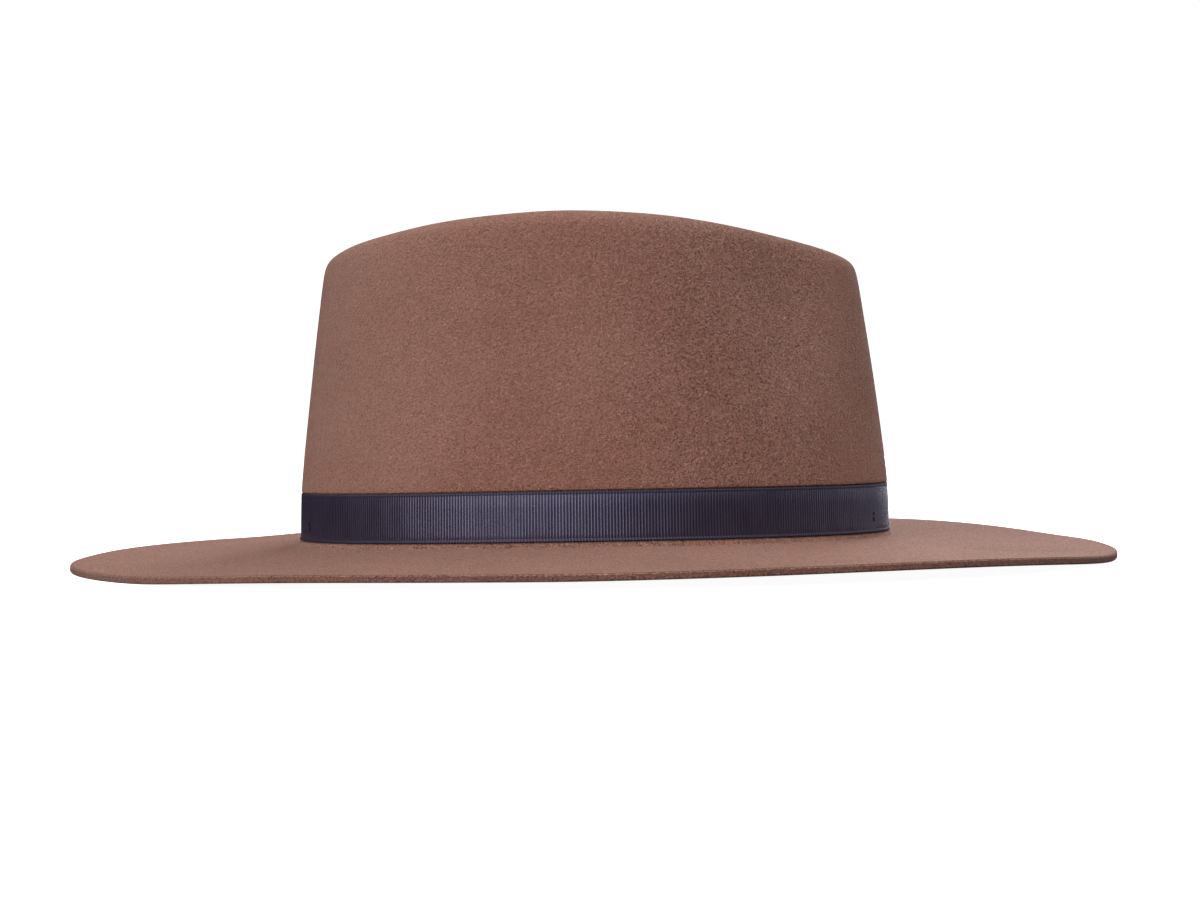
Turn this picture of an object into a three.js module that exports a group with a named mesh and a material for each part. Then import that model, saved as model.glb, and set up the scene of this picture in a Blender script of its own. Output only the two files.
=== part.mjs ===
// A flat-brim felt hat with a teardrop crown and a plain grosgrain ribbon round its foot.
//
// The felt is one piece, blocked from one hood: a hollow crown that turns out into a wide brim with
// a raw cut edge. The ribbon is one strip that goes round the crown, with its end lapped over its
// start on the wearer's left.
//
// Units are millimetres. +X is the front of the hat, +Y the wearer's left and +Z is up. The origin
// lies on the ground under the middle of the brim, and the hat rests on its brim's front and back.

import * as THREE from 'three';

// Driving dimensions
const FELT_THICKNESS = 2.4;
const HEAD_LENGTH = 207; // outside of the felt at the crown's foot, front to back
const HEAD_WIDTH = 169.6; // and side to side
const BRIM_LENGTH = 363.4; // over the cut edge, front to back
const BRIM_WIDTH = 329; // and side to side
const CROWN_TOP = 119.2; // highest point of the crown's rim above the ground
const RIBBON_HEIGHT = 16.4;
const RIBBON_THICKNESS = 1;
const RIBBON_GAP = 0.3; // between the ribbon and the felt

const STATIONS = 72; // points round the hat

// Brim. Its edge lies on the ground over a short arc at the front and a wide one at the back, and
// lifts at the sides, most of all a little ahead of the middle.
const EDGE_FULLNESS = 2.34; // power of the edge's outline: 2 is an ellipse, and more is squarer
const EDGE_LIFT = { side: 2.65, forward: 2.8 };
const REST_ARC = { front: 15, back: 39 }; // degrees to each side of the hat's middle line
const BREAK_RADIUS = 4; // hollow corner between crown and brim
const BREAK_ANGLES = [0, 30, 60, 90]; // degrees round that corner
const BREAK_HEIGHT = { mean: 7.2, side: 0.8, forward: 0.6 }; // brim's top face beside the corner
const EDGE_FLAT = 0.92; // share of the brim's width past which it no longer slopes
const BRIM_CURVE = 1.6; // above 1, the slope is steeper near the crown
const BRIM_ROWS = [0.16, 0.42, 0.7, EDGE_FLAT, 1]; // shares of the brim's width
const LEVEL_EDGE_ROWS = 2; // of the rows above, those on the level edge

// Foot of the crown, drawn in under the tight ribbon, with a soft shoulder just above the ribbon.
const SEAT_LEAN = 0.4; // how much the foot narrows over its height
const SEAT_CLEARANCE = 0.4; // from the ribbon's upper edge up to where the shoulder starts
const SHOULDER = { rise: 2.4, out: 0.65 };

// Crown wall, from the shoulder to where the rim starts to turn in. It is narrower at the front.
const WALL_TOP = { front: 94.5, back: 95.4, side: 71 };
const FRONT_NARROWING = 0.13;
const WALL_CURVE = 1.08; // above 1, the wall is bowed outwards
const WALL_ROWS = [0.82, 0.64, 0.46, 0.28, 0.12]; // shares of the wall's height, downwards

// Rim of the crown: a rounded fold, highest near the middle and lower at both ends.
const RIM_RADIUS = { end: 7, side: 8 };
const RIM_ARCH = { peakX: -9, frontX: 88, frontDrop: 14, backX: -88, backDrop: 10.7, power: 2.1 };
const RIM_ANGLES = [140, 116, 92, 66, 38, 8]; // degrees up from the outward level

// Teardrop crease inside the rim: a bowl that runs down to a small flat floor.
const CREASE_FLOOR = { x: -14, z: 93, length: 24, width: 14 };
const CREASE_FULLNESS = 0.55; // share of the way out that the bowl stays low
const CREASE_SLOPE = 15; // how far the rim's slope carries on into the bowl
const CREASE_ROWS = [0, 0.24, 0.46, 0.66, 0.84]; // shares of the way out from the floor

// Front pinch: a shallow hollow on each side of the crown, pressed in from the rim downwards.
const PINCH = { x: 67, length: 19, depth: 6.5, fadeFrom: 46, fadeTo: 104, fullAt: 34 };

// Ribbon lap, on the wearer's left, in degrees round the crown. The upper layer climbs over the
// lower one's end, lies on it and ends in a straight cut.
const LAP = { from: 84.5, climb: 1.5, to: 95.5, cut: 0.3 };
const RIBBON_FLARE = 30; // degrees of the hollow corner that the ribbon's foot follows
const RIBBON_ROWS = [0, 0.34, 0.67, 1]; // shares of the ribbon's height above that corner

// Worked out from the sizes above
const STRAIGHT_HEIGHT = RIBBON_HEIGHT - BREAK_RADIUS * Math.sin(radians(RIBBON_FLARE));
const SEAT_HEIGHT = STRAIGHT_HEIGHT + SEAT_CLEARANCE;

const UP = new THREE.Vector3(0, 0, 1);

function radians(degrees) {
  return THREE.MathUtils.degToRad(degrees);
}

// Level ring point, where a power above 2 gives an oval that is squarer than an ellipse.
function ovalPoint(turn, length, width, power = 2) {
  const stretch = (value) => Math.sign(value) * Math.abs(value) ** (2 / power);
  return new THREE.Vector3(
    (length / 2) * stretch(Math.cos(turn)),
    (width / 2) * stretch(Math.sin(turn)),
    0,
  );
}

// Oval at the crown's foot, and the level direction away from it.
function footPoint(turn) {
  return ovalPoint(turn, HEAD_LENGTH, HEAD_WIDTH);
}

function footOutward(turn) {
  return new THREE.Vector3(Math.cos(turn) / HEAD_LENGTH, Math.sin(turn) / HEAD_WIDTH, 0).normalize();
}

// Height of the brim's top face at its cut edge, and beside the crown.
function edgeHeight(turn) {
  const ahead = Math.max(0, Math.cos(turn));
  const resting = Math.sin(radians(ahead > 0 ? REST_ARC.front : REST_ARC.back));
  const lifted = THREE.MathUtils.smoothstep(Math.abs(Math.sin(turn)), resting, 1);
  return FELT_THICKNESS + lifted * (EDGE_LIFT.side + EDGE_LIFT.forward * ahead);
}

function breakHeight(turn) {
  return (
    BREAK_HEIGHT.mean - BREAK_HEIGHT.side * Math.cos(2 * turn) + BREAK_HEIGHT.forward * Math.cos(turn)
  );
}

// Hollow corner: 0 degrees is its top, on the wall, and 90 degrees its end, on the brim.
function breakPoint(turn, degrees) {
  const angle = radians(degrees);
  return footPoint(turn)
    .addScaledVector(footOutward(turn), BREAK_RADIUS * (1 - Math.cos(angle)))
    .setZ(breakHeight(turn) + BREAK_RADIUS * (1 - Math.sin(angle)));
}

function brimPoint(turn, share) {
  const edge = ovalPoint(turn, BRIM_LENGTH, BRIM_WIDTH, EDGE_FULLNESS);
  const slope = Math.max(0, 1 - share / EDGE_FLAT) ** BRIM_CURVE;
  const height = THREE.MathUtils.lerp(edgeHeight(turn), breakHeight(turn), slope);
  return breakPoint(turn, 90).lerp(edge, share).setZ(height);
}

// Face of the felt behind the ribbon, from the hollow corner up.
function seatPoint(turn, height) {
  return breakPoint(turn, 0)
    .addScaledVector(footOutward(turn), (-SEAT_LEAN * height) / RIBBON_HEIGHT)
    .addScaledVector(UP, height);
}

// Plan of the crown where its rim starts, an egg with its small end to the front.
function wallTopPlan(turn) {
  const reach = Math.cos(turn) > 0 ? WALL_TOP.front : WALL_TOP.back;
  const narrowing = 1 - FRONT_NARROWING * ((1 + Math.cos(turn)) / 2) ** 2;
  return new THREE.Vector3(reach * Math.cos(turn), WALL_TOP.side * narrowing * Math.sin(turn), 0);
}

function rimOutward(turn) {
  const step = 0.01;
  const along = wallTopPlan(turn + step).sub(wallTopPlan(turn - step));
  return along.cross(UP).normalize();
}

function rimRadius(turn) {
  return THREE.MathUtils.lerp(RIM_RADIUS.side, RIM_RADIUS.end, Math.cos(turn) ** 2);
}

function rimHeight(x) {
  const { peakX, frontX, frontDrop, backX, backDrop, power } = RIM_ARCH;
  const front = x > peakX;
  const share = (x - peakX) / ((front ? frontX : backX) - peakX);
  return CROWN_TOP - (front ? frontDrop : backDrop) * share ** power;
}

// Rounded fold: 0 degrees points outwards, 90 degrees is the top of the rim.
function rimPoint(turn, degrees) {
  const angle = radians(degrees);
  const radius = rimRadius(turn);
  const outward = rimOutward(turn);
  const middle = wallTopPlan(turn).addScaledVector(outward, -radius);
  return middle
    .clone()
    .addScaledVector(outward, radius * Math.cos(angle))
    .setZ(rimHeight(middle.x) + radius * (Math.sin(angle) - 1));
}

function wallPoint(turn, share) {
  const shoulder = breakPoint(turn, 0)
    .addScaledVector(footOutward(turn), SHOULDER.out)
    .addScaledVector(UP, SEAT_HEIGHT + SHOULDER.rise);
  const top = rimPoint(turn, RIM_ANGLES.at(-1));
  const plan = shoulder.clone().lerp(top, share ** WALL_CURVE);
  return plan.setZ(THREE.MathUtils.lerp(shoulder.z, top.z, share));
}

// Bowl of the crease, a curve from the flat floor out to the inner side of the rim.
function creasePoint(turn, share) {
  const { x, z, length, width } = CREASE_FLOOR;
  const floor = ovalPoint(turn, length, width).add(new THREE.Vector3(x, 0, z));
  const end = rimPoint(turn, RIM_ANGLES[0]);
  const slope = radians(RIM_ANGLES[0] - 90);
  const nearEnd = end
    .clone()
    .addScaledVector(rimOutward(turn), -CREASE_SLOPE * Math.cos(slope))
    .addScaledVector(UP, -CREASE_SLOPE * Math.sin(slope));
  const nearFloor = floor.clone().lerp(end, CREASE_FULLNESS).setZ(z);
  return new THREE.CubicBezierCurve3(floor, nearFloor, nearEnd, end).getPoint(share);
}

// Moves a point of the crown towards the middle plane where the front is pinched.
function pinched(point) {
  const along = Math.exp(-(((point.x - PINCH.x) / PINCH.length) ** 2));
  const rise = THREE.MathUtils.smoothstep(point.z, PINCH.fadeFrom, PINCH.fadeTo);
  const across = THREE.MathUtils.clamp(point.y / PINCH.fullAt, -1, 1);
  point.y -= PINCH.depth * along * rise * across;
  return point;
}

// Outer face of the felt along one line, from the floor of the crease to the brim's edge.
function outerLine(turn) {
  return [
    ...CREASE_ROWS.map((share) => pinched(creasePoint(turn, share))),
    ...RIM_ANGLES.map((degrees) => pinched(rimPoint(turn, degrees))),
    ...[...WALL_ROWS, 0].map((share) => pinched(wallPoint(turn, share))),
    seatPoint(turn, SEAT_HEIGHT),
    ...BREAK_ANGLES.map((degrees) => breakPoint(turn, degrees)),
    ...BRIM_ROWS.map((share) => brimPoint(turn, share)),
  ];
}

function turns(count) {
  return Array.from({ length: count }, (_, index) => (2 * Math.PI * index) / count);
}

// Turns a list of lines into a list of rings.
function ringsOf(lines) {
  return lines[0].map((_, row) => lines.map((line) => line[row]));
}

// The same face, set in by the felt's thickness. The floor of the crease and the level edge of the
// brim are set straight down, so that their undersides are flat too.
function innerRings(rings) {
  return rings.map((ring, row) =>
    ring.map((point, index) => {
      const level = row === 0 || row >= rings.length - LEVEL_EDGE_ROWS;
      if (level) return point.clone().addScaledVector(UP, -FELT_THICKNESS);
      const along = ring
        .at((index + 1) % ring.length)
        .clone()
        .sub(ring.at(index - 1));
      const outward = rings[row + 1][index].clone().sub(rings[row - 1][index]);
      return point.clone().addScaledVector(outward.cross(along).normalize(), -FELT_THICKNESS);
    }),
  );
}

// Closed skin over a list of rings. Two poles close its ends with fans, and without poles the last
// ring joins the first.
function skin(rings, poles = []) {
  const size = rings[0].length;
  const points = [...rings.flat(), ...poles];
  const faces = [];
  const bands = poles.length ? rings.length - 1 : rings.length;
  for (let band = 0; band < bands; band += 1) {
    for (let index = 0; index < size; index += 1) {
      const next = (index + 1) % size;
      const start = band * size;
      const end = ((band + 1) % rings.length) * size;
      faces.push(start + index, end + index, end + next);
      faces.push(start + index, end + next, start + next);
    }
  }
  if (poles.length) {
    const lastRing = (rings.length - 1) * size;
    const firstPole = rings.length * size;
    for (let index = 0; index < size; index += 1) {
      const next = (index + 1) % size;
      faces.push(firstPole, index, next);
      faces.push(lastRing + index, firstPole + 1, lastRing + next);
    }
  }
  const geometry = new THREE.BufferGeometry().setFromPoints(points);
  geometry.setIndex(faces);
  geometry.computeVertexNormals();
  return geometry;
}

// Felt: the outer face from the crease's floor to the brim's edge, then back along the inside.
function feltGeometry() {
  const outer = ringsOf(turns(STATIONS).map(outerLine));
  const inner = innerRings(outer).reverse();
  const centre = new THREE.Vector3(CREASE_FLOOR.x, 0, CREASE_FLOOR.z);
  const centreInside = centre.clone().addScaledVector(UP, -FELT_THICKNESS);
  return skin([...outer, ...inner], [centre, centreInside]);
}

// Stations of the ribbon, with further ones where the lap's ends step up and down.
function ribbonStations() {
  const [bottom, top] = [LAP.from, LAP.from + LAP.climb].map(radians);
  const [end, past] = [LAP.to, LAP.to + LAP.cut].map(radians);
  return turns(STATIONS)
    .filter((turn) => turn < bottom || turn > past || (turn > top && turn < end))
    .concat([bottom, top, end, past])
    .sort((a, b) => a - b)
    .map((turn) => ({ turn, layers: turn >= top && turn <= end ? 2 : 1 }));
}

// Ribbon: it follows the foot of the wall, and its lower edge flares with the hollow corner.
function ribbonGeometry() {
  const face = ({ turn }, offset) => [
    breakPoint(turn, RIBBON_FLARE).addScaledVector(footOutward(turn), offset),
    ...RIBBON_ROWS.map((share) =>
      seatPoint(turn, share * STRAIGHT_HEIGHT).addScaledVector(footOutward(turn), offset),
    ),
  ];
  const outerOffset = ({ layers }) => RIBBON_GAP + layers * RIBBON_THICKNESS;
  const lines = ribbonStations().map((station) => [
    ...face(station, outerOffset(station)).reverse(),
    ...face(station, RIBBON_GAP),
  ]);
  return skin(ringsOf(lines));
}

const felt = new THREE.MeshStandardMaterial({ color: 0x8c6455, roughness: 0.95, metalness: 0 });
const grosgrain = new THREE.MeshStandardMaterial({ color: 0x35313f, roughness: 0.55, metalness: 0 });

function piece(name, geometry, material) {
  const mesh = new THREE.Mesh(geometry, material);
  mesh.name = name;
  return mesh;
}

const hat = new THREE.Group();
hat.add(piece('felt_body', feltGeometry(), felt));
hat.add(piece('ribbon_band', ribbonGeometry(), grosgrain));

export default hat;
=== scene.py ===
"""A flat-brim felt hat with a teardrop crown and a grosgrain ribbon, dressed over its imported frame.

Lengths are in metres: +X is the hat's front, +Y the wearer's left and +Z is up, and the hat rests on
the front and back of its brim.
"""

import math

import bmesh
import bpy
from mathutils import Matrix, Vector, noise


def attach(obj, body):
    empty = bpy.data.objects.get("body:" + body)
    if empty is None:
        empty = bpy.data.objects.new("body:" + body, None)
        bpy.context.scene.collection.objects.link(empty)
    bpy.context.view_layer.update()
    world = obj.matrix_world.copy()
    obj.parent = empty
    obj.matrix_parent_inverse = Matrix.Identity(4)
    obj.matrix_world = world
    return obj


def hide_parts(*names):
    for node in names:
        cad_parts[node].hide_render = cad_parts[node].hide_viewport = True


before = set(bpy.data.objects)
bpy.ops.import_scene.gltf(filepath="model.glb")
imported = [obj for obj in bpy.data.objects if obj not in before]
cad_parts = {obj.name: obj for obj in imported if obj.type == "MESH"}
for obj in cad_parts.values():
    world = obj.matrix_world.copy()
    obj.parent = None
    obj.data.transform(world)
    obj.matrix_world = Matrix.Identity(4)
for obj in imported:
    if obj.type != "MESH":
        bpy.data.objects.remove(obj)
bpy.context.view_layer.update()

# Felt. Crown and brim are one wool-felt hood, pulled and steamed over a block, with the crease and
# the front pinch pressed in by hand. The brim is cut to width with a knife, so its edge is raw and
# shows the felt's darker core.
MM = 0.001
MERGE_DISTANCE = 1e-6
BRIM_HALF_LENGTH = 181.7 * MM
BRIM_HALF_WIDTH = 164.5 * MM
BRIM_FULLNESS = 2.34
RAW_SHARE = 0.99
CUT_CORNER_SHARE = 0.995
CUT_CORNER_TURN = math.radians(50)
CUT_ROUNDING = 0.7 * MM
HEAD_HALF_LENGTH = 103.5 * MM
HEAD_HALF_WIDTH = 84.8 * MM
CORNER_RADIUS = 4 * MM
OVER_RIBBON = 14.8 * MM
OVER_RIBBON_SLACK = 0.3 * MM
INSIDE_WALL = -1.5 * MM
SEAT_EDGE_DROP = 5 * MM
SEAT_SHARE = 0.05
SWELL_OVER_RIBBON = 0.9 * MM
HOLD_OUT_ROUNDS = 5
RIM_FOOT = 70 * MM
RIM_TOP = 92 * MM
SHAPED_FROM = 26 * MM
SHAPED_FULLY = 48 * MM
BROAD_PER_METRE = 17
BROAD_DEPTH_MM = 0.55
CLOSE_PER_METRE = 38
CLOSE_DEPTH_MM = 0.28
# Without a seed the vector noise of the hand shaping would come out differently in each run.
SHAPING_SEED = 7


def share_of_brim(point):
    """0 on the hat's axis and 1 at the cut edge."""
    length = abs(point.x) / BRIM_HALF_LENGTH
    width = abs(point.y) / BRIM_HALF_WIDTH
    return (length**BRIM_FULLNESS + width**BRIM_FULLNESS) ** (1 / BRIM_FULLNESS)


def smooth_step(value, start, end):
    """0 before the start, 1 past the end and a smooth rise between them."""
    share = min(1.0, max(0.0, (value - start) / (end - start)))
    return share * share * (3 - 2 * share)


def corner_height(turn):
    """How high the brim's top lies at the crown's foot, where their rounded corner starts."""
    return (7.2 - 0.8 * math.cos(2 * turn) + 0.6 * math.cos(turn)) * MM


def foot_outward(turn):
    """The level way out of the felt, at a turn round the oval of the crown's foot."""
    return Vector((math.cos(turn) / HEAD_HALF_LENGTH, math.sin(turn) / HEAD_HALF_WIDTH, 0)).normalized()


def hand_shaping(point):
    """How far the steamed felt strays from the block at a point."""
    broad = noise.noise_vector(point * BROAD_PER_METRE + Vector((3.1, 0.4, 7.7)))
    close = noise.noise_vector(point * CLOSE_PER_METRE + Vector((9.2, 5.5, 1.3)))
    crown = smooth_step(point.z, SHAPED_FROM, SHAPED_FULLY)
    return (broad * BROAD_DEPTH_MM + close * CLOSE_DEPTH_MM) * MM * crown


def smoothed(vert):
    """Where the smoothed felt passes for a corner of the net."""
    beside = [edge.other_vert(vert) for edge in vert.link_edges]
    if len(beside) != 4 or any(len(face.verts) != 4 for face in vert.link_faces):
        return vert.co.copy()
    across = [corner for face in vert.link_faces for corner in face.verts]
    across = [corner for corner in across if corner is not vert and corner not in beside]
    nearby = sum((corner.co * 4 for corner in beside), Vector())
    nearby += sum((corner.co for corner in across), Vector())
    return (vert.co * 16 + nearby) / 36


def new_piece(name, work):
    """The finished bmesh as a smooth object of its own."""
    mesh = bpy.data.meshes.new(name)
    work.to_mesh(mesh)
    work.free()
    for polygon in mesh.polygons:
        polygon.use_smooth = True
    piece = bpy.data.objects.new(name, mesh)
    bpy.context.scene.collection.objects.link(piece)
    return piece


hood = bmesh.new()
hood.from_mesh(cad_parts["felt_body"].data)
bmesh.ops.remove_doubles(hood, verts=hood.verts, dist=MERGE_DISTANCE)
bmesh.ops.join_triangles(
    hood,
    faces=hood.faces,
    angle_face_threshold=math.pi,
    angle_shape_threshold=math.pi,
)
cut_corners = [
    edge
    for edge in hood.edges
    if all(share_of_brim(vert.co) > CUT_CORNER_SHARE for vert in edge.verts)
    and len(edge.link_faces) == 2
    and edge.calc_face_angle() > CUT_CORNER_TURN
]
bmesh.ops.bevel(
    hood,
    geom=cut_corners,
    offset=CUT_ROUNDING,
    segments=3,
    profile=0.5,
    affect="EDGES",
    material=-1,
)
# The felt swells out right over the tight ribbon, to lie level with its face. A new row of the net
# close under the swell keeps it short.
seat_edges = []
seat_places = []
for vert in hood.verts:
    turn = math.atan2(vert.co.y / HEAD_HALF_WIDTH, vert.co.x / HEAD_HALF_LENGTH)
    foot = Vector((HEAD_HALF_LENGTH * math.cos(turn), HEAD_HALF_WIDTH * math.sin(turn), vert.co.z))
    over_foot = vert.co.z - corner_height(turn) - CORNER_RADIUS
    if abs(over_foot - OVER_RIBBON) > OVER_RIBBON_SLACK:
        continue
    if (vert.co - foot).dot(foot_outward(turn)) < INSIDE_WALL:
        continue
    for edge in vert.link_edges:
        low = edge.other_vert(vert)
        if vert.co.z - low.co.z > SEAT_EDGE_DROP:
            seat_edges.append(edge)
            seat_places.append(vert.co.lerp(low.co, SEAT_SHARE))
    vert.co += foot_outward(turn) * SWELL_OVER_RIBBON
cut = bmesh.ops.subdivide_edges(hood, edges=seat_edges, cuts=1)["geom_inner"]
for vert in (part for part in cut if isinstance(part, bmesh.types.BMVert)):
    vert.co = min(seat_places, key=lambda spot: (spot.xy - vert.co.xy).length_squared)
# The net is held out, so that the smoothed felt keeps to the block instead of shrinking inside it.
# The rim is left to round off, and nothing goes below the floor.
block_places = [vert.co.copy() for vert in hood.verts]
for _ in range(HOLD_OUT_ROUNDS):
    shifts = [place - smoothed(vert) for vert, place in zip(hood.verts, block_places)]
    for vert, place, shift in zip(hood.verts, block_places, shifts):
        vert.co += shift * (1 - smooth_step(place.z, RIM_FOOT, RIM_TOP))
        vert.co.z = max(0.0, vert.co.z)
hood.normal_update()
noise.seed_set(SHAPING_SEED)
raw_edge = hood.verts.layers.float.new("raw_edge")
for vert in hood.verts:
    if share_of_brim(vert.co) > RAW_SHARE:
        vert[raw_edge] = 1 - abs(vert.normal.z)
    vert.co += hand_shaping(vert.co)
felt = new_piece("hat_felt", hood)
felt_smoothing = felt.modifiers.new("block smoothing", "SUBSURF")
felt_smoothing.levels = 2
felt_smoothing.render_levels = 2

# Sockets of a Mix node that mixes colours.
MIX_SHARE = 0
MIX_FIRST = 6
MIX_SECOND = 7
MIX_COLOUR = 2


class Dye:
    """A shader socket that adds and multiplies as a number does, and makes the nodes of a finish."""

    def __init__(self, tree, socket=None):
        self.tree = tree
        self.socket = socket

    def node(self, kind, settings, inputs, output=0):
        """A node by its type, its settings and the values or links of its sockets."""
        made = self.tree.nodes.new(kind)
        for name, value in settings.items():
            setattr(made, name, value)
        for key, value in inputs.items():
            if isinstance(value, Dye):
                self.tree.links.new(value.socket, made.inputs[key])
            else:
                made.inputs[key].default_value = value
        return Dye(self.tree, made.outputs[output] if made.outputs else None)

    def maths(self, operation, *terms):
        return self.node("ShaderNodeMath", {"operation": operation}, dict(enumerate(terms)))

    def __add__(self, other):
        return self.maths("ADD", self, other)

    def __radd__(self, other):
        return self.maths("ADD", other, self)

    def __sub__(self, other):
        return self.maths("SUBTRACT", self, other)

    def __rsub__(self, other):
        return self.maths("SUBTRACT", other, self)

    def __mul__(self, other):
        return self.maths("MULTIPLY", self, other)

    def __rmul__(self, other):
        return self.maths("MULTIPLY", other, self)

    def __abs__(self):
        return self.maths("ABSOLUTE", self)

    def between(self, low, high):
        """0 below low, 1 above high and a smooth rise between them."""
        return self.node(
            "ShaderNodeMapRange",
            {"interpolation_type": "SMOOTHSTEP"},
            {"Value": self, "From Min": low, "From Max": high},
        )

    def blend(self, first, second):
        """The first colour where this is 0 and the second where it is 1."""
        return self.node(
            "ShaderNodeMix",
            {"data_type": "RGBA"},
            {MIX_SHARE: self, MIX_FIRST: first, MIX_SECOND: second},
            MIX_COLOUR,
        )

    def times(self, grey):
        """A colour made darker or lighter by a number."""
        return self.node(
            "ShaderNodeMix",
            {"data_type": "RGBA", "blend_type": "MULTIPLY"},
            {MIX_SHARE: 1.0, MIX_FIRST: self, MIX_SECOND: grey},
            MIX_COLOUR,
        )

    def grain(self, place, size, detail=2.0, roughness=0.5, distortion=0.0):
        """Noise with spots of a size in metres."""
        return self.node(
            "ShaderNodeTexNoise",
            {},
            {
                "Vector": place,
                "Scale": 1 / size,
                "Detail": detail,
                "Roughness": roughness,
                "Distortion": distortion,
            },
        )


def new_finish(name):
    """A material without nodes, and the maker of its nodes."""
    finish = bpy.data.materials.new(name)
    finish.use_nodes = True
    finish.node_tree.nodes.clear()
    return finish, Dye(finish.node_tree)


def surface(dye, inputs):
    """The finish's shader and its output."""
    shader = dye.node("ShaderNodeBsdfPrincipled", {}, inputs)
    dye.node("ShaderNodeOutputMaterial", {}, {"Surface": shader})


ROSE = (0.372, 0.166, 0.123, 1)
TAN = (0.372, 0.180, 0.138, 1)
FLECK = (0.52, 0.31, 0.24, 1)
CORE = (0.14, 0.066, 0.048, 1)
NAP_HEIGHT = 1.7 * MM

wool, dye = new_finish("wool_felt")
place = dye.node("ShaderNodeTexCoord", {}, {}, "Object")
drift = dye.grain(place, 42 * MM)
cloud = dye.grain(place, 7 * MM, 3.0, 0.6)
towards_front = dye.node("ShaderNodeSeparateXYZ", {}, {"Vector": place}, "X")
height = dye.node("ShaderNodeSeparateXYZ", {}, {"Vector": place}, "Z")
on_crown = height.between(17 * MM, 19 * MM)
# Painted shade: the front of the crown, where the pinch turns away from the light, is made darker, and
# its specks deeper, as grazing light would show them.
painted_front_shade = towards_front.between(0, 50 * MM) * (1 - towards_front.between(72 * MM, 92 * MM)) * on_crown
tuft = dye.grain(place, 2.4 * MM, 1.0, 0.5, 0.6)
nap = dye.grain(place, 1.15 * MM, 1.0, 0.5, 0.8)
hair = dye.grain(place, 0.55 * MM, 1.0, 0.6, 1.0)
fibre = 1 - abs(dye.grain(place, 1.6 * MM, 2.0, 0.6, 2.4) * 2 - 1)
raw = dye.node("ShaderNodeAttribute", {"attribute_name": "raw_edge"}, {}, "Fac").between(0.5, 1.0)
tone = (drift * 0.5 + cloud * 0.5).between(0.35, 0.65)
colour = tone.blend(ROSE, TAN)
colour = (fibre.between(0.9, 1.0) * 0.15).blend(colour, FLECK)
colour = (raw * 0.32).blend(colour, CORE)
speckle = (tuft - 0.5) * 0.2 + (nap - 0.5) * 0.5 + (hair - 0.5) * 1.8
# The brim is seen at a low angle, which evens out its specks, so they are deeper there.
# The painted shade at the front of the crown deepens the specks there too.
depth = 1.9 - on_crown * 0.9 + painted_front_shade * 0.6 - raw * 0.9
# The painted shade also darkens the front of the crown.
shade = (drift - 0.5) * 0.3 + speckle * depth + 1 - painted_front_shade * 0.12
colour = colour.times(shade)
standing_nap = tuft * 0.15 + nap * 0.42 + hair * 0.55 + fibre * 0.12
bump = dye.node("ShaderNodeBump", {}, {"Strength": 1.0, "Distance": NAP_HEIGHT, "Height": standing_nap})
surface(
    dye,
    {
        "Base Color": colour,
        "Roughness": 0.95 - fibre * 0.1,
        "IOR": 1.4,
        "Specular Tint": (1, 0.72, 0.6, 1),
        "Sheen Weight": 0.4,
        "Sheen Roughness": 0.4,
        "Sheen Tint": (1, 0.72, 0.61, 1),
        "Normal": bump,
    },
)
felt.data.materials.append(wool)
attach(felt, "root")
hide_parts("felt_body")

# Ribbon. One strip of grosgrain, woven with a thick weft that stands up as fine upright ribs under a
# fine silky warp. It is pulled tight round the crown's foot, its lower edge flares with the corner,
# and its end lies over its start on the wearer's left.
RIBS = 580
# Height of the weft over one rib, from the gap beside it, as shares of its relief.
RIB_SHAPE = (0, 0.55, 0.9, 1, 0.9, 0.55)
RIB_RELIEF = 0.15 * MM
RIB_UNEVENNESS = 0.5
UNEVENNESS_PER_RIB = 0.37
UNEVENNESS_PER_METRE = 160
CORNER_FLARE = math.radians(30)
RIBBON_TOP = 14.4 * MM
RIBBON_FOOT = -CORNER_RADIUS * math.sin(CORNER_FLARE)
RIBBON_LEAN = 0.4 / 16.4
RIBBON_FACE = 1.3 * MM
RIBBON_BACK = 0.35 * MM
LAP_STEP = 1 * MM
LAP_START = math.radians(84.5)
LAP_CLIMB = math.radians(1.5)
LAP_END = math.radians(95.5)
LAP_CUT = math.radians(0.3)
EDGE_BEAD = 0.2 * MM
EDGE_SHINE = 0.62
OVAL_STEPS = 20000


def foot_point(turn, out, up):
    """A point on the crown's foot, by its distance out from the felt and its height over the corner."""
    foot = Vector((HEAD_HALF_LENGTH * math.cos(turn), HEAD_HALF_WIDTH * math.sin(turn), 0))
    flare = 0.0
    if up < 0:
        rise = min(1.0, -up / CORNER_RADIUS)
        flare = CORNER_RADIUS * (1 - math.sqrt(1 - rise * rise))
    lean = -RIBBON_LEAN * max(0.0, up)
    raised = Vector((0, 0, corner_height(turn) + CORNER_RADIUS + up))
    return foot + foot_outward(turn) * (out + flare + lean) + raised


def even_turns(count):
    """Turns round the foot's oval that lie the same length of ribbon apart."""
    lengths = [0.0]
    for index in range(OVAL_STEPS):
        turn = 2 * math.pi * (index + 0.5) / OVAL_STEPS
        speed = math.hypot(HEAD_HALF_LENGTH * math.sin(turn), HEAD_HALF_WIDTH * math.cos(turn))
        lengths.append(lengths[-1] + speed * 2 * math.pi / OVAL_STEPS)
    turns = []
    spot = 0
    for index in range(count):
        goal = lengths[-1] * index / count
        while lengths[spot + 1] < goal:
            spot += 1
        share = (goal - lengths[spot]) / (lengths[spot + 1] - lengths[spot])
        turns.append(2 * math.pi * (spot + share) / OVAL_STEPS)
    return turns


def lap_layers(turn):
    """0 on the single ribbon and 1 where its end lies over its start."""
    climb = smooth_step(turn, LAP_START, LAP_START + LAP_CLIMB)
    fall = smooth_step(turn, LAP_END, LAP_END + LAP_CUT)
    return climb - fall


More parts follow.
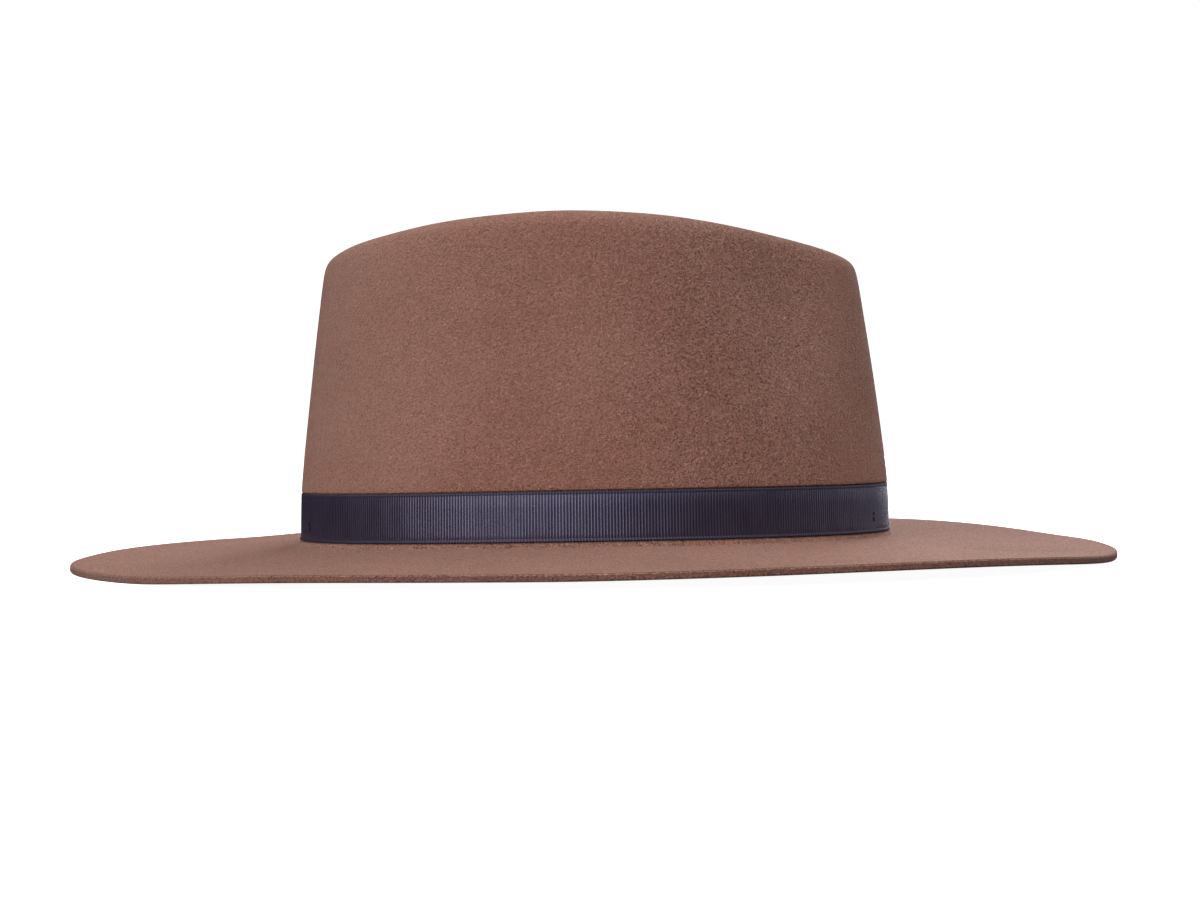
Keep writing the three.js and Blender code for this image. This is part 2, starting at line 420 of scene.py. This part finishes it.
# Each row across the ribbon: its height over the corner, how deep it lies under the face, and how
# much of the ribs it shows. It runs from the back of the foot, up the face to the back of the top.
RIBBON_ROWS = [
    (RIBBON_FOOT + 0.2 * MM, RIBBON_FACE - RIBBON_BACK, 0),
    (RIBBON_FOOT + 0.1 * MM, 0.5 * MM, 0.3),
    (RIBBON_FOOT + 0.15 * MM, 0.18 * MM, 1),
    (RIBBON_FOOT + 0.35 * MM, 0.0, 1.2),
    (RIBBON_FOOT + 0.75 * MM, 0.0, 0.8),
    (RIBBON_FOOT + 0.95 * MM, 0.16 * MM, 0.6),
    (RIBBON_FOOT + 1.2 * MM, 0.02 * MM, 1),
    (0.6 * MM, 0.0, 1),
    (4.5 * MM, 0.0, 1),
    (9.0 * MM, 0.0, 1),
    (RIBBON_TOP - 1.2 * MM, 0.02 * MM, 1),
    (RIBBON_TOP - 0.95 * MM, 0.16 * MM, 0.6),
    (RIBBON_TOP - 0.75 * MM, 0.0, 0.8),
    (RIBBON_TOP - 0.35 * MM, 0.02 * MM, 1.2),
    (RIBBON_TOP - 0.15 * MM, 0.2 * MM, 1),
    (RIBBON_TOP - 0.1 * MM, 0.5 * MM, 0.3),
    (RIBBON_TOP - 0.2 * MM, RIBBON_FACE - RIBBON_BACK, 0),
]
BACK_ROWS = (0, 16)
FOOT_BEAD_ROWS = (1, 2, 3)
FACE_ROWS = (6, 7, 8, 9, 10)
TOP_BEAD_ROWS = (13, 14, 15)
ribbon_turns = even_turns(RIBS * len(RIB_SHAPE))


def ribbon_point(step, row):
    """The place of one step round the ribbon, in one of its rows."""
    up, under, ribbing = RIBBON_ROWS[row]
    turn = ribbon_turns[step]
    swell = RIB_SHAPE[step % len(RIB_SHAPE)]
    rib_number = step // len(RIB_SHAPE)
    spot = Vector((rib_number * UNEVENNESS_PER_RIB, up * UNEVENNESS_PER_METRE, 2.5))
    uneven = 1 + RIB_UNEVENNESS * noise.noise(spot)
    rib = RIB_RELIEF * (1 - swell) * ribbing * uneven
    layer = 0 if row in BACK_ROWS else LAP_STEP * lap_layers(turn)
    bead = 0.0
    if row in FOOT_BEAD_ROWS:
        bead = -EDGE_BEAD * (swell - 0.5)
    elif row in TOP_BEAD_ROWS:
        bead = EDGE_BEAD * (swell - 0.5)
    return foot_point(turn, RIBBON_FACE - under - rib + layer, up + bead)


strip = bmesh.new()
station = strip.verts.layers.int.new("station")
crest = strip.verts.layers.float.new("crest")
bmesh.ops.create_circle(strip, cap_ends=False, segments=len(ribbon_turns), radius=HEAD_HALF_LENGTH)
strip.verts.ensure_lookup_table()
ring_edges = list(strip.edges)
first_verts = sorted(strip.verts, key=lambda vert: math.atan2(vert.co.y, vert.co.x) % (2 * math.pi))
for step, vert in enumerate(first_verts):
    vert[station] = step
    vert[crest] = RIB_SHAPE[step % len(RIB_SHAPE)]
    vert.co = ribbon_point(step, 0)
for row in range(1, len(RIBBON_ROWS)):
    grown = bmesh.ops.extrude_edge_only(strip, edges=ring_edges)["geom"]
    ring_edges = [part for part in grown if isinstance(part, bmesh.types.BMEdge)]
    new_verts = {part for part in grown if isinstance(part, bmesh.types.BMVert)}
    shine = 1 if row in FACE_ROWS else EDGE_SHINE
    for vert in new_verts:
        vert.co = ribbon_point(vert[station], row)
        vert[crest] = RIB_SHAPE[vert[station] % len(RIB_SHAPE)] * shine
    ring_edges = [edge for edge in ring_edges if new_verts.issuperset(edge.verts)]
open_edges = [edge for edge in strip.edges if edge.is_boundary]
bmesh.ops.bridge_loops(strip, edges=open_edges)
bmesh.ops.recalc_face_normals(strip, faces=strip.faces)
ribbon = new_piece("hat_ribbon", strip)

NAVY = (0.014, 0.010, 0.022, 1)
NAVY_WORN = (0.026, 0.020, 0.040, 1)
WARP_HEIGHT = 0.08 * MM

silk, dye = new_finish("navy_grosgrain")
place = dye.node("ShaderNodeTexCoord", {}, {}, "Object")
warp_place = dye.node("ShaderNodeMapping", {}, {"Vector": place, "Scale": (0.16, 0.16, 1)})
warp = dye.grain(warp_place, 0.16 * MM, 2.0, 0.6)
wear = dye.grain(place, 9 * MM, 3.0, 0.6)
crest_gloss_and_gap_shade = dye.node("ShaderNodeAttribute", {"attribute_name": "crest"}, {}, "Fac").between(0.35, 0.85)
colour = (wear.between(0.35, 0.75) * 0.5 + warp * 0.3).blend(NAVY, NAVY_WORN)
# Painted shade: the gaps between the ribs are darkened, and the rows along the edges, whose crest value
# is lower, somewhat too.
colour = colour.times(crest_gloss_and_gap_shade * 0.75 + 0.25)
bump = dye.node("ShaderNodeBump", {}, {"Strength": 0.5, "Distance": WARP_HEIGHT, "Height": warp})
surface(
    dye,
    {
        "Base Color": colour,
        "Roughness": 0.66 - crest_gloss_and_gap_shade * 0.44 + wear * 0.06,
        "IOR": 1.58,
        "Specular IOR Level": 1.0,
        "Specular Tint": (0.72, 0.67, 1, 1),
        "Sheen Weight": 0.3,
        "Sheen Roughness": 0.3,
        "Sheen Tint": (0.45, 0.36, 1, 1),
        "Normal": bump,
    },
)
ribbon.data.materials.append(silk)
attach(ribbon, "root")
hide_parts("ribbon_band")

# Tacks. Short stitches of black thread hold the ribbon to the felt: two, one over the other, towards
# each end of both sides, and four down the lap's end.
THREAD = 0.7 * MM
THREAD_SIDES = 8
STITCH_REACH = 0.8 * MM
STITCH_SINK = 0.8 * MM
STITCH_STEPS = 12
# Each stitch: degrees round the foot, height over the corner in mm and lean in degrees.
STITCHES = [
    (-21.8, 4.4, -40),
    (-21.7, 2.3, 4),
    (-158.8, 4.1, 10),
    (-158.5, 2.5, -8),
    (21.6, 4.2, 12),
    (21.8, 2.4, -10),
    (158.6, 4.3, 8),
    (158.9, 2.6, -12),
    (94.6, 12.2, 14),
    (94.5, 8.6, -10),
    (94.6, 5.0, 8),
    (94.5, 1.5, -6),
]
sewing = bmesh.new()
for degrees, height_mm, lean in STITCHES:
    turn = math.radians(degrees)
    layer = LAP_STEP * lap_layers(turn % (2 * math.pi))
    middle = foot_point(turn, RIBBON_FACE + layer - STITCH_SINK, height_mm * MM)
    outward = foot_outward(turn)
    along = Matrix.Rotation(math.radians(lean), 3, outward) @ Vector((0, 0, 1))
    across = outward.cross(along)
    start = Matrix((along, across, outward)).transposed().to_4x4()
    start.translation = middle - along * STITCH_REACH
    ring = bmesh.ops.create_circle(
        sewing,
        segments=THREAD_SIDES,
        radius=THREAD / 2,
        matrix=start,
    )["verts"]
    bmesh.ops.spin(
        sewing,
        geom=ring + [edge for edge in sewing.edges if all(vert in ring for vert in edge.verts)],
        cent=middle,
        axis=across,
        angle=math.pi,
        steps=STITCH_STEPS,
    )
thread_ends = [edge for edge in sewing.edges if edge.is_boundary]
bmesh.ops.holes_fill(sewing, edges=thread_ends, sides=THREAD_SIDES)
bmesh.ops.recalc_face_normals(sewing, faces=sewing.faces)
tacks = new_piece("ribbon_tacks", sewing)

THREAD_BLACK = (0.002, 0.002, 0.003, 1)
THREAD_WORN = (0.006, 0.005, 0.008, 1)
TWIST_HEIGHT = 0.1 * MM

cotton, dye = new_finish("black_thread")
place = dye.node("ShaderNodeTexCoord", {}, {}, "Object")
twist = dye.grain(place, 0.2 * MM, 2.0, 0.6)
bump = dye.node("ShaderNodeBump", {}, {"Strength": 0.6, "Distance": TWIST_HEIGHT, "Height": twist})
surface(
    dye,
    {
        "Base Color": twist.blend(THREAD_BLACK, THREAD_WORN),
        "Roughness": twist * 0.2 + 0.7,
        "Specular IOR Level": 0.2,
        "Normal": bump,
    },
)
tacks.data.materials.append(cotton)
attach(tacks, "root")

# Floor. A plain pale sheet of paper lies flat under the hat and sweeps up far from it on all sides,
# as in a photographer's tent. It glows an even white and casts no light on the hat.
SWEEP_FLAT = 1.6
SWEEP_BEND = 1.2
SWEEP_TOP = 3.2
BEND_STEPS = 12
ROUND_STEPS = 96
sweep = bmesh.new()
middle = sweep.verts.new((0, 0, 0))
last = sweep.verts.new((SWEEP_FLAT, 0, 0))
profile_edges = [sweep.edges.new((middle, last))]
profile = []
for step in range(1, BEND_STEPS + 1):
    turn = math.radians(90 * step / BEND_STEPS)
    profile.append((SWEEP_FLAT + SWEEP_BEND * math.sin(turn), SWEEP_BEND * (1 - math.cos(turn))))
profile.append((SWEEP_FLAT + SWEEP_BEND, SWEEP_TOP))
for out, above in profile:
    point = sweep.verts.new((out, 0, above))
    profile_edges.append(sweep.edges.new((last, point)))
    last = point
bmesh.ops.spin(
    sweep,
    geom=list(sweep.verts) + profile_edges,
    cent=(0, 0, 0),
    axis=(0, 0, 1),
    angle=2 * math.pi,
    steps=ROUND_STEPS,
    use_merge=True,
)
bmesh.ops.remove_doubles(sweep, verts=sweep.verts, dist=MERGE_DISTANCE)
bmesh.ops.recalc_face_normals(sweep, faces=sweep.faces)
floor = new_piece("floor", sweep)
paper, dye = new_finish("white_paper")
surface(
    dye,
    {
        "Base Color": (0.9, 0.9, 0.9, 1),
        "Roughness": 0.9,
        "Emission Color": (1, 1, 1, 1),
        "Emission Strength": 0.95,
    },
)
floor.data.materials.append(paper)
floor.visible_diffuse = False
floor.visible_glossy = False
floor.visible_shadow = False

# Lights. Soft boxes stand all round the hat, and the room adds a weak even light. A low one in front
# at the left gives the ribbon its sheen, the strongest stands low behind the hat, and five hang high.
ROOM_LIGHT = 0.035
LIGHT_DISTANCE = 1.5
LIGHT_AIM = Vector((0, 0, 0.05))
SOFT_BOX_HEIGHT = 1.0
# Each soft box: its name, degrees to the right of the camera, degrees above the floor, width and watts.
SOFT_BOXES = [
    ("soft_box_left", -27, 10, 0.8, 8.5),
    ("soft_box_front", 2, 10, 0.7, 0.6),
    ("soft_box_high_front", -20, 45, 1.2, 4.3),
    ("soft_box_high_left", -70, 45, 1.2, 4.1),
    ("soft_box_front_right", 30, 45, 1.2, 4.8),
    ("soft_box_top", 0, 88, 1.2, 5.8),
    ("soft_box_right", 102, 15, 0.7, 2.2),
    ("soft_box_back_right", 140, 15, 0.7, 0.7),
    ("soft_box_back", 165, 15, 0.7, 13.0),
    ("soft_box_high_right", 135, 55, 1.2, 6.8),
]
room = bpy.data.worlds.new("room")
room.use_nodes = True
room.node_tree.nodes["Background"].inputs["Color"].default_value = (1, 1, 1, 1)
room.node_tree.nodes["Background"].inputs["Strength"].default_value = ROOM_LIGHT
bpy.context.scene.world = room
bpy.context.scene.view_settings.view_transform = "Standard"
for name, to_the_right, above, width, watts in SOFT_BOXES:
    light = bpy.data.lights.new(name, "AREA")
    light.shape = "RECTANGLE"
    light.size = width
    light.size_y = SOFT_BOX_HEIGHT
    light.energy = watts
    turn = math.radians(to_the_right)
    rise = math.radians(above)
    towards = Vector((math.sin(turn) * math.cos(rise), -math.cos(turn) * math.cos(rise), math.sin(rise)))
    lamp = bpy.data.objects.new(name, light)
    lamp.location = towards * LIGHT_DISTANCE + LIGHT_AIM
    lamp.rotation_euler = (-towards).to_track_quat("-Z", "Y").to_euler()
    lamp.visible_camera = False
    bpy.context.scene.collection.objects.link(lamp)

# Camera. It looks at the hat's right side from just above the height of the ribbon, with a long lens
# from under a metre away, and is turned a little clockwise.
CAMERA_DISTANCE = 878.3 * MM
CAMERA_AIM = Vector((2.303, 0, 37.98)) * MM
CAMERA_YAW = math.radians(2.113)
CAMERA_RISE = math.radians(1.044)
CAMERA_ROLL = math.radians(-0.774)
FILM_WIDTH = 36
FOCAL_LENGTH = 73.68
NEAREST = 0.01
towards_camera = Vector(
    (
        math.sin(CAMERA_YAW) * math.cos(CAMERA_RISE),
        -math.cos(CAMERA_YAW) * math.cos(CAMERA_RISE),
        math.sin(CAMERA_RISE),
    )
)
level_right = Vector((0, 0, 1)).cross(towards_camera).normalized()
level_up = towards_camera.cross(level_right)
right = level_right * math.cos(CAMERA_ROLL) + level_up * math.sin(CAMERA_ROLL)
up = level_up * math.cos(CAMERA_ROLL) - level_right * math.sin(CAMERA_ROLL)
lens = bpy.data.cameras.new("camera")
lens.sensor_width = FILM_WIDTH
lens.lens = FOCAL_LENGTH
lens.clip_start = NEAREST
camera = bpy.data.objects.new("camera", lens)
turning = Matrix((right, up, towards_camera)).transposed().to_4x4()
camera.matrix_world = Matrix.Translation(CAMERA_AIM + towards_camera * CAMERA_DISTANCE) @ turning
bpy.context.scene.collection.objects.link(camera)
bpy.context.scene.camera = camera
